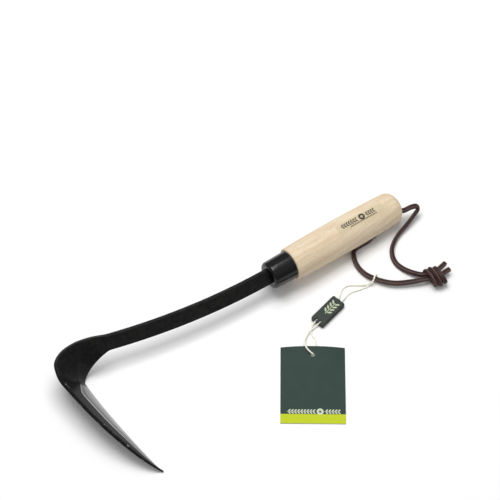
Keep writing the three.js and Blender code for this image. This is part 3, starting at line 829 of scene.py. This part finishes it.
def rod(name, start, end, radius, sides=40):
    """A plain round cutter between two bench points."""
    line = np.linspace(start, end, 3)
    angles = 2 * math.pi * np.arange(sides) / sides
    section = radius * np.stack([np.cos(angles), np.sin(angles)], axis=1)
    return bpy.data.objects.new(name, skinned(name, swept(line, section, first_up=(0.3, 0.5, 1))))


pin_centre, pin_run = pin_line()
pin_radius, pin_below, pin_above = 1.5, 20, 8


def pin_hole():
    start, end = pin_centre - pin_below * pin_run, pin_centre + (pin_above + fit) * pin_run
    return rod("pin_hole", start, end, pin_radius + fit)


cut(forging, pin_hole())

# %% [markdown]
# ## Ferrule
#
# A cup pressed from steel closes the front of the handle. It is turned over at the front in a round
# corner, has a slot that the bar passes through, and is dipped in gloss black enamel: smooth, dark,
# with sharp reflections. A turned profile gives the cup, and the slot and the pin's hole are cut
# from it.

# %% Turned pieces
def turned(name, profile, sides=128):
    """A solid of revolution about the handle's axis, from (x, radius) points."""
    angles = 2 * math.pi * np.arange(sides) / sides
    rings = [
        from_grip(np.stack([np.full(sides, x), radius * np.cos(angles), radius * np.sin(angles)], axis=1))
        for x, radius in profile
    ]
    return skinned(name, rings)


def arc(centre_x, centre_radius, radius, start, end, count=10):
    """Points of a round corner, with angles from the front of the handle outwards."""
    return [
        (centre_x - radius * math.cos(a), centre_radius + radius * math.sin(a))
        for a in np.radians(np.linspace(start, end, count))
    ]


def gloss_enamel():
    m = new_finish("gloss_black_enamel", Metallic=0.0, IOR=1.5, Specular_IOR_Level=0.34)
    lie = in_millimetres(m)
    orange_peel = add(m, "TexNoise", {"Vector": lie, "Scale": 1 / 2.4, "Detail": 1.0})
    dust = add(m, "TexNoise", {"Vector": lie, "Scale": 1 / 0.6, "Detail": 3.0})
    specks = add(m, "MapRange", [dust, 0.66, 0.74], **SMOOTH)
    colour = add(m, "Mix", {0: specks, 6: "#0c0c0d", 7: "#262524"}, 2, **RGBA)
    rough = add(m, "MapRange", [dust, 0.3, 0.7, 0.1, 0.2], **SMOOTH)
    bump = add(m, "Bump", {"Height": orange_peel, "Distance": 0.08 * MM, "Strength": 0.3})
    surface(m, Base_Color=colour, Roughness=rough, Normal=bump)
    return m


front_x = -ferrule_length
lip, near_axis, wall_place = 0.35, 0.05, 8
round_x, round_radius = front_x + ferrule_round, ferrule_front_radius - ferrule_round
ferrule_profile = [
    (front_x, near_axis),
    (front_x, 4),
    *arc(round_x, round_radius, ferrule_round, 0, 90),
    (
        front_x + wall_place,
        ferrule_front_radius + (ferrule_back_radius - ferrule_front_radius) * wall_place / ferrule_length,
    ),
    (-4, ferrule_back_radius - 0.09),
    *arc(-fit - lip, ferrule_back_radius - lip, lip, 90, 180, 5),
    *arc(-fit - lip, ferrule_back_radius - ferrule_wall + lip, lip, 180, 270, 5),
    *arc(round_x, round_radius, ferrule_round - ferrule_wall, 90, 0, 8),
    (front_x + ferrule_wall, 4),
    (front_x + ferrule_wall, near_axis),
]
enamel = gloss_enamel()
cup_mesh = turned("ferrule_cup", ferrule_profile)
ferrule = new_piece("ferrule_cup", cup_mesh, enamel, "tool")
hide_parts("ferrule")
past_cup = 6
slot_front = bar_station(bar_point(past_cup), bar_run(past_cup), bar_width + 2 * fit, bar_thickness + 2 * fit)
slot_rings, _ = forged([*shoulders(fit), slot_front])
cut(ferrule, bpy.data.objects.new("slot", skinned("slot", slot_rings)), pin_hole())
print("ferrule", len(ferrule.data.polygons), "faces")

# %% [markdown]
# ## Handle
#
# The handle is pale ash, turned between centres, sanded fine and left without varnish. Wood has two
# scales that the eye looks for: growth rings, broad soft bands along the grain a few millimetres
# wide, and pores, short dark dashes about 0.2 mm wide and 2 to 4 mm long. The dashes are drawn with
# a grain of 0.5 mm, since finer ones would vanish at this distance. Sanding leaves it quite rough,
# with no clear reflection.

# %% Fine-sanded ash
def sanded_ash():
    m = new_finish("fine_sanded_ash", Metallic=0.0, IOR=1.5, Specular_IOR_Level=0.3)
    lie = in_millimetres(m)
    grain = add(m, "Mapping", {"Vector": lie, "Rotation": (0, handle_pitch, 0)})
    long_grain = add(m, "Mapping", {"Vector": grain, "Scale": (1 / 26, 1, 1)})
    short_grain = add(m, "Mapping", {"Vector": grain, "Scale": (1 / 5, 1, 1)})
    growth = add(m, "TexNoise", {"Vector": long_grain, "Scale": 1 / 3.2, "Detail": 3.0})
    flame = add(m, "TexNoise", {"Vector": short_grain, "Scale": 1 / 9, "Detail": 2.0})
    pores = add(m, "TexNoise", {"Vector": short_grain, "Scale": 1 / 0.5, "Detail": 2.0})
    patches = add(m, "TexNoise", {"Vector": lie, "Scale": 1 / 16, "Detail": 3.0})
    flamed = add(m, "Math", [flame, 0.3], operation="MULTIPLY")
    bands = add(m, "Math", [growth, 0.7, flamed], operation="MULTIPLY_ADD")
    banded = add(m, "MapRange", [bands, 0.38, 0.64], **SMOOTH)
    colour = add(m, "Mix", {0: banded, 6: "#e6d5ba", 7: "#dbc5a4"}, 2, **RGBA)
    blush = add(m, "MapRange", [patches, 0.42, 0.75, 0.0, 0.3], **SMOOTH)
    colour = add(m, "Mix", {0: blush, 6: colour, 7: "#ddc0a6"}, 2, **RGBA)
    dashes = add(m, "MapRange", [pores, 0.56, 0.7, 0.0, 0.4], **SMOOTH)
    colour = add(m, "Mix", {0: dashes, 6: colour, 7: "#b0936c"}, 2, **RGBA)
    rough = add(m, "MapRange", [growth, 0.3, 0.7, 0.52, 0.68], **SMOOTH)
    bump = add(m, "Bump", {"Height": dashes, "Distance": 0.05 * MM, "Strength": 0.5}, invert=True)
    surface(m, Base_Color=colour, Roughness=rough, Normal=bump)
    return m


spigot_front = front_x + ferrule_wall + fit
spigot_radius = ferrule_back_radius - ferrule_wall - fit
shoulder_round = 1.2
body_x = np.linspace(shoulder_round, dome_start, 44)[1:]
dome_x = dome_start + dome_length * np.sin(np.linspace(0, math.pi / 2, 22)[1:-1])
handle_profile = [
    (spigot_front, near_axis),
    (spigot_front, ferrule_front_radius - ferrule_round),
    (spigot_front + ferrule_round - ferrule_wall, spigot_radius - 0.5),
    (0, spigot_radius),
    (0, shoulder_radius - shoulder_round),
    *arc(shoulder_round, shoulder_radius - shoulder_round, shoulder_round, 20, 90, 6),
    *((x, handle_radius(x)) for x in body_x),
    *((x, handle_radius(x)) for x in dome_x),
    (handle_length, near_axis),
]
wood = sanded_ash()
grip_mesh = turned("turned_handle", handle_profile, 144)
handle = new_piece("turned_handle", grip_mesh, wood, "tool")
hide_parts("handle")
bore_run = unit(bore_butt - bore_mouth)
bore_radius, past_mouth, past_butt = 2.75, 14, 8
bore_start = from_grip(bore_mouth - past_mouth * bore_run)
bore_end = from_grip(bore_butt + past_butt * bore_run)
bore = rod("bore", bore_start, bore_end, bore_radius)
socket_rings, _ = forged([*tang(fit), *shoulders(fit)])
cut(handle, bore, bpy.data.objects.new("tang_socket", skinned("tang_socket", socket_rings)), pin_hole())
print("handle", len(handle.data.polygons), "faces")

# %% [markdown]
# ## Printed marks
#
# The label, the seal and the card each carry a printed mark. A plain ear of grain stands for it on
# all three: a row of slanting grains on both sides of a thin stem. It is drawn on the map in
# millimetres. Each grain is an ellipse, repeated along the stem by taking the place along it modulo
# the distance between grains.

# %% An ear of grain, as a mask
def ear_parts(m, start, end, line, pitch, reach, grain):
    """Masks of the grains and of the stem, which runs from start to end along the map, on that line."""
    place = add(m, "UVMap", uv_map="run")
    along = add(m, "SeparateXYZ", [place], 0)
    across = add(m, "SeparateXYZ", [place], 1)
    off_line = add(m, "Math", [across, line], operation="SUBTRACT")
    aside = add(m, "Math", [off_line, 0.0], operation="ABSOLUTE")
    begun = add(m, "Math", [along, start], operation="SUBTRACT")
    slanted = add(m, "Math", [aside, -0.7, begun], operation="MULTIPLY_ADD")
    repeated = add(m, "Math", [slanted, pitch], operation="FLOORED_MODULO")
    local = add(m, "Math", [repeated, 1 / grain, -0.5 * pitch / grain], operation="MULTIPLY_ADD")
    outward = add(m, "Math", [aside, 1 / (0.42 * reach), -0.58 / 0.42], operation="MULTIPLY_ADD")
    oval = add(m, "Math", [local, local], operation="MULTIPLY")
    oval = add(m, "Math", [outward, outward, oval], operation="MULTIPLY_ADD")
    grains = add(m, "MapRange", [oval, 1.2, 0.8], **SMOOTH)
    stem = add(m, "MapRange", [aside, 0.06 * reach + 0.14, 0.06 * reach + 0.04], **SMOOTH)
    whole = pitch * math.floor((end - start) / pitch)
    for place_along, drawn in ((slanted, grains), (begun, stem)):
        after_start = add(m, "Math", [place_along, 0.0], operation="GREATER_THAN")
        before_end = add(m, "Math", [place_along, whole], operation="LESS_THAN")
        inside = add(m, "Math", [after_start, before_end], operation="MULTIPLY")
        yield add(m, "Math", [drawn, inside], operation="MULTIPLY")


def ear_of_grain(m, *sizes):
    """1 on the print of an ear, 0 elsewhere."""
    return add(m, "Math", list(ear_parts(m, *sizes)), operation="MAXIMUM")


# %% A row of print: two ears with a round badge between them
def printed_row(m, start, badge_at, end, line, pitch, reach, grain):
    badge_radius = 1.4 * reach
    left = ear_of_grain(m, start, badge_at - badge_radius - 0.6, line, pitch, reach, grain)
    right = ear_of_grain(m, badge_at + badge_radius + 0.6, end, line, pitch, reach, grain)
    middle = add(m, "CombineXYZ", [badge_at, line, 0])
    place = add(m, "UVMap", uv_map="run")
    distance = add(m, "VectorMath", [place, middle], 1, operation="DISTANCE")
    disc = add(m, "MapRange", [distance, badge_radius + 0.1, badge_radius - 0.1], **SMOOTH)
    eye_radius = 0.4 * badge_radius
    eye = add(m, "MapRange", [distance, eye_radius - 0.1, eye_radius + 0.1, 0.2, 1.0], **SMOOTH)
    badge = add(m, "Math", [disc, eye], operation="MULTIPLY")
    ears = add(m, "Math", [left, right], operation="MAXIMUM")
    return add(m, "Math", [ears, badge], operation="MAXIMUM")


# %% [markdown]
# ## Handle label
#
# The label is a thin film stuck to the top of the handle, nearly the colour of the wood, with a
# dark print that has worn a little. The film is matt and smooth, so it hides the grain. It follows
# the wood in both directions, so it is a sheet of small squares wrapped on the handle's own
# profile, just clear of it, and given a thickness.

# %% Matt film, and sheets made of squares
label_length, label_width, label_start, label_turn = 49.0, 8.0, 48.5, math.radians(7)
label_thickness, label_lift = 0.12, 0.06
label_middle = label_width / 2


def matt_film():
    m = new_finish("matt_label_film", Metallic=0.0, Roughness=0.5, IOR=1.49, Specular_IOR_Level=0.35)
    lie = in_millimetres(m)
    cloud = add(m, "TexNoise", {"Vector": lie, "Scale": 1 / 6, "Detail": 2.0})
    wear = add(m, "TexNoise", {"Vector": lie, "Scale": 1 / 1.2, "Detail": 3.0})
    film = add(m, "Mix", {0: cloud, 6: "#d8c9ab", 7: "#cdbc99"}, 2, **RGBA)
    row = printed_row(m, 4, 26.5, 41, label_middle - 0.7, 2.4, 2.2, 0.9)
    border = ear_of_grain(m, 12, 41, label_middle + 2.7, 1.6, 0.65, 0.5)
    printed = add(m, "Math", [row, border], operation="MAXIMUM")
    left_on = add(m, "MapRange", [wear, 0.2, 0.42, 0.4, 0.95], **SMOOTH)
    printed = add(m, "Math", [printed, left_on], operation="MULTIPLY")
    surface(m, Base_Color=add(m, "Mix", {0: printed, 6: film, 7: "#29241f"}, 2, **RGBA))
    return m


def sheet_of_squares(name, along, across, lifted, thickness):
    """A thin closed sheet. lifted turns (along, across, height) into a bench point."""
    columns, rows = len(along), len(across)
    size = columns * rows
    points = [lifted(a, c, height) for height in (thickness, 0) for c in across for a in along]
    faces = []
    for r in range(rows - 1):
        for c in range(columns - 1):
            quad = [r * columns + c, r * columns + c + 1, (r + 1) * columns + c + 1, (r + 1) * columns + c]
            faces += [quad, [i + size for i in reversed(quad)]]
    rim = [r * columns + c for r, c in (
        *((0, c) for c in range(columns)),
        *((r, columns - 1) for r in range(1, rows)),
        *((rows - 1, c) for c in range(columns - 2, -1, -1)),
        *((r, 0) for r in range(rows - 2, 0, -1)),
    )]
    faces += [[j, i, i + size, j + size] for i, j in zip(rim, rim[1:] + rim[:1])]
    mesh = bpy.data.meshes.new(name)
    mesh.from_pydata(placed(points).tolist(), [], faces)
    where = mesh.uv_layers.new(name="run").data
    grid = [(a, c) for c in across for a in along] * 2
    for corner in mesh.loops:
        where[corner.index].uv = grid[corner.vertex_index]
    mesh.shade_smooth()
    mesh.set_sharp_from_angle(angle=math.radians(40))
    return mesh


def on_handle(along, across, height):
    x = label_start + along
    radius = handle_radius(x) + label_lift + height
    angle = label_turn + (across - label_middle) / belly_radius
    return from_grip([x, -radius * math.sin(angle), radius * math.cos(angle)])


label_columns, label_rows = np.linspace(0, label_length, 50), np.linspace(label_width, 0, 17)
label_mesh = sheet_of_squares("label_film", label_columns, label_rows, on_handle, label_thickness)
label = new_piece("label_film", label_mesh, matt_film(), "tool")
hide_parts("handle_label")
print("label", len(label_mesh.polygons), "faces")

# %% [markdown]
# ## Seal block
#
# A small block of dark green moulded plastic locks the string: its two halves are pressed together
# over it. Moulded plastic has softly rounded edges, a parting line round the middle and a fine even
# texture. The string goes in at both ends. At the card's end the block is slotted, so that three
# short prongs show with the string between them.

# %% Satin moulded plastic
seal_length, seal_width, seal_thickness = 30.0, 13.4, 4.8
seal_centre, seal_heading = np.array([6.1, -48.7, 0.1]), math.radians(13)
strand_spacing, channel_radius = 3.4, 0.95
seal_along = np.array([math.cos(seal_heading), math.sin(seal_heading), 0])
seal_across = np.array([-math.sin(seal_heading), math.cos(seal_heading), 0])


def moulded_plastic():
    m = new_finish("satin_moulded_plastic", Metallic=0.0, IOR=1.49, Specular_IOR_Level=0.3)
    lie = in_millimetres(m)
    texture = add(m, "TexNoise", {"Vector": lie, "Scale": 1 / 0.4, "Detail": 2.0})
    cloud = add(m, "TexNoise", {"Vector": lie, "Scale": 1 / 5, "Detail": 2.0})
    green = add(m, "Mix", {0: cloud, 6: "#1c2720", 7: "#27332b"}, 2, **RGBA)
    upward = add(m, "SeparateXYZ", [add(m, "TexCoord", out=1)], 2)
    top = add(m, "MapRange", [upward, 0.9, 0.98], **SMOOTH)
    ear = ear_of_grain(m, -4, 11.5, 0.0, 3.4, 3.9, 1.05)
    printed = add(m, "Math", [ear, top], operation="MULTIPLY")
    rough = add(m, "MapRange", [texture, 0.3, 0.7, 0.36, 0.5], **SMOOTH)
    bump = add(m, "Bump", {"Height": texture, "Distance": 0.03 * MM, "Strength": 0.5})
    colour = add(m, "Mix", {0: printed, 6: green, 7: "#b9c3a4"}, 2, **RGBA)
    surface(m, Base_Color=colour, Roughness=rough, Normal=bump)
    return m


def on_seal(along, across, height):
    return seal_centre + along * seal_along + across * seal_across + np.array([0, 0, height])


print("seal at", seal_centre)

# %% The block in levels, with its channels, slots and side ribs cut
def rounded_outline(half_length, half_width, corner, step=8):
    """Points round a rectangle with round corners, in the order of a turn to the left."""
    outline = []
    for k, (right, ahead) in enumerate(((1, 1), (-1, 1), (-1, -1), (1, -1))):
        for a in np.radians(np.linspace(90 * k, 90 * k + 90, step)):
            outline.append((
                right * (half_length - corner) + corner * math.cos(a),
                ahead * (half_width - corner) + corner * math.sin(a),
            ))
    return outline


def block(name, centre, sides, levels, corner):
    """A moulded block on the seal: levels are (height, inset) from the bottom to the top."""
    rings = []
    for height, inset in levels:
        outline = rounded_outline(sides[0] / 2 - inset, sides[1] / 2 - inset, max(0.15, corner - 0.5 * inset))
        rings.append([on_seal(centre[0] + x, centre[1] + y, height) for x, y in outline])
    return skinned(name, rings)


edge_round = 0.9
slot_size, groove_size, groove_pitch, groove_edge = (7.6, 1.7), (0.55, 0.7), 1.1, 0.9
quarter = np.linspace(0, math.pi / 2, 6)
lower_edge = [(edge_round * (1 - math.cos(a)), edge_round * (1 - math.sin(a))) for a in quarter]
upper_edge = [(seal_thickness - height, inset) for height, inset in reversed(lower_edge)]
half = seal_thickness / 2
parting = [(half - 0.25, 0), (half - 0.08, 0.14), (half + 0.08, 0.14), (half + 0.25, 0)]
seal_mesh = block("seal_block", (0, 0), (seal_length, seal_width), [*lower_edge, *parting, *upper_edge], 1.6)
seal = new_piece("seal_block_moulded", seal_mesh, moulded_plastic(), "tag_string")
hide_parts("seal_block")


def channel(side):
    ends = (on_seal(x, side * strand_spacing / 2, half) for x in (-seal_length, seal_length))
    return rod("channel", *ends, channel_radius, 20)


def slot_between_prongs(side):
    """An open slot over the string at the card's end, down to just under the string."""
    levels = [(half - 0.9, 0), (seal_thickness + 1, 0)]
    at = (-seal_length / 2, side * strand_spacing / 2 * 1.15)
    return bpy.data.objects.new("slot", block("slot", at, slot_size, levels, 0.6))


def rib_groove(x):
    """A shallow upright groove in the side that faces the card."""
    levels = [(groove_edge, 0), (seal_thickness - groove_edge, 0)]
    return bpy.data.objects.new("groove", block("groove", (x, -seal_width / 2), groove_size, levels, 0.2))


cutters = [channel(side) for side in (-1, 1)] + [slot_between_prongs(side) for side in (-1, 1)]
cutters += [rib_groove(x) for x in np.arange(-8.8, 13, groove_pitch)]
cut(seal, *cutters)


def lay_flat_map(mesh, origin, along, across):
    """Redraws the map in millimetres on a plane, with its origin at a bench point."""
    where = mesh.uv_layers["run"].data
    for corner in mesh.loops:
        point = np.array(mesh.vertices[corner.vertex_index].co) / MM - bench_origin - origin
        where[corner.index].uv = (point @ along, point @ across)


lay_flat_map(seal.data, seal_centre, seal_along, seal_across)
print("seal", len(seal.data.polygons), "faces")

# %% [markdown]
# ## Swing tag
#
# The tag is a card of coated paperboard, 0.8 mm thick, printed dark green with a lime strip along
# its foot. Its top edge bows up where the string holds it. The coating gives it an even satin look,
# and the cut edge shows the paler paper inside. A row of small grains and a round badge stand for
# the print above the strip.

# %% Printed paperboard
card_width, card_height, card_thickness, hole_radius, hole_margin = 55.0, 72.5, 0.8, 2.0, 7.7
card_hole, card_heading = np.array([-29.4, -75.3, 0]), math.radians(-35.6)
card_rise, card_rise_reach = 3.0, 45.0
card_across = np.array([math.cos(card_heading), math.sin(card_heading), 0])
card_upward = np.array([-math.sin(card_heading), math.cos(card_heading), 0])
strip_height = 8.8


def printed_board():
    m = new_finish("coated_paperboard", Metallic=0.0, IOR=1.48, Specular_IOR_Level=0.16)
    up = add(m, "SeparateXYZ", [add(m, "UVMap", uv_map="run")], 1)
    lie = in_millimetres(m)
    fibre = add(m, "TexNoise", {"Vector": lie, "Scale": 1 / 0.5, "Detail": 3.0})
    cloud = add(m, "TexNoise", {"Vector": lie, "Scale": 1 / 9, "Detail": 2.0})
    green = add(m, "Mix", {0: cloud, 6: "#2d3f39", 7: "#33453f"}, 2, **RGBA)
    strip = add(m, "Math", [up, strip_height], operation="LESS_THAN")
    colour = add(m, "Mix", {0: strip, 6: green, 7: "#c1ce24"}, 2, **RGBA)

    printed = printed_row(m, 5.5, 33.4, 50, strip_height + 2.4, 2.6, 2.1, 0.8)
    colour = add(m, "Mix", {0: printed, 6: colour, 7: "#cdd6bd"}, 2, **RGBA)

    facing = add(m, "SeparateXYZ", [add(m, "TexCoord", out=1)], 2)
    flat = add(m, "Math", [facing, 0.0], operation="ABSOLUTE")
    cut_edge = add(m, "MapRange", [flat, 0.6, 0.4], **SMOOTH)
    colour = add(m, "Mix", {0: cut_edge, 6: colour, 7: "#9aa093"}, 2, **RGBA)
    rough = add(m, "MapRange", [fibre, 0.3, 0.7, 0.5, 0.62], **SMOOTH)
    bump = add(m, "Bump", {"Height": fibre, "Distance": 0.02 * MM, "Strength": 0.5})
    surface(m, Base_Color=colour, Roughness=rough, Normal=bump)
    return m


def on_card(across, upward, height):
    share = 2 * across / card_width - 1
    from_top = card_height - upward
    bow = card_rise * (1 - share**2) * max(0, 1 - from_top / card_rise_reach) ** 2
    flat = card_hole + (across - card_width / 2) * card_across + (hole_margin - from_top) * card_upward
    return flat + np.array([0, 0, height + bow])


card_columns, card_rows = np.linspace(0, card_width, 45), np.linspace(0, card_height, 60)
card_mesh = sheet_of_squares("swing_card", card_columns, card_rows, on_card, card_thickness)
card = new_piece("swing_card", card_mesh, printed_board(), "tag_card")
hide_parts("swing_tag")
cut(card, rod("punch", card_hole - 10 * UP, card_hole + 15 * UP, hole_radius, 48))
print("card", len(card.data.polygons), "faces")

# %% [markdown]
# ## Tang pin
#
# A short pin of plain drawn wire holds the tang, driven in from below. Its end is all that shows,
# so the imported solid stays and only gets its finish: bright steel, dulled a little by fine tarnish.

# %% Drawn steel wire
def drawn_wire():
    m = new_finish("drawn_steel_wire", Metallic=1.0)
    lie = in_millimetres(m)
    tarnish = add(m, "TexNoise", {"Vector": lie, "Scale": 1 / 0.8, "Detail": 3.0})
    colour = add(m, "Mix", {0: tarnish, 6: "#8f8f8d", 7: "#b4b5b4"}, 2, **RGBA)
    surface(m, Base_Color=colour, Roughness=add(m, "MapRange", [tarnish, 0.3, 0.7, 0.3, 0.5], **SMOOTH))
    return m


wire = drawn_wire()
for slot_in_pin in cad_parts["tang_pin"].material_slots:
    slot_in_pin.material = wire
print("pin finished")

# %% [markdown]
# ## Floor and light
#
# The tool lies on a white table top under a large soft light that hangs overhead and a little
# behind, which drops a short soft shadow towards the front. The room is bright at the ceiling and
# dim near the table, so that it fills the shadows and leaves the gloss of the steel something dark
# to reflect.

# %% A white floor, one soft light and a dim room
matt_white = new_finish("matt_white_table", Base_Color="#fdfdfd", Roughness=1.0, Specular_IOR_Level=0.0)
floor_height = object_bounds()[0].z
half_floor = 3.0
floor_mesh = bpy.data.meshes.new("floor")
floor_corners = [
    (x * half_floor, y * half_floor, floor_height) for x, y in ((-1, -1), (1, -1), (1, 1), (-1, 1))
]
floor_mesh.from_pydata(floor_corners, [], [(0, 1, 2, 3)])
floor_mesh.materials.append(matt_white)
floor = bpy.data.objects.new("floor", floor_mesh)
bpy.context.scene.collection.objects.link(floor)


def soft_light(name, place, target, size, power):
    light = bpy.data.lights.new(name, "AREA")
    light.shape, light.size, light.size_y = "RECTANGLE", *size
    light.energy = power
    lamp = bpy.data.objects.new(name, light)
    lamp.location = place
    lamp.rotation_euler = (Vector(target) - Vector(place)).to_track_quat("-Z", "Y").to_euler()
    bpy.context.scene.collection.objects.link(lamp)


soft_light("overhead", (0.05, 0.3, 1.3), (0, 0, 0), (0.95, 0.7), 12.6)
world = bpy.data.worlds.new("studio")
world.use_nodes = True
upward = add(world, "SeparateXYZ", [add(world, "TexCoord", out=0)], 2)
glow = add(world, "MapRange", [upward, -0.1, 0.95, 0.1, 0.62])
background = world.node_tree.nodes["Background"]
plug(world, background.inputs["Color"], "#ffffff")
plug(world, background.inputs["Strength"], glow)
bpy.context.scene.world = world
bpy.context.scene.view_settings.view_transform = "Standard"
print("floor at", floor_height)
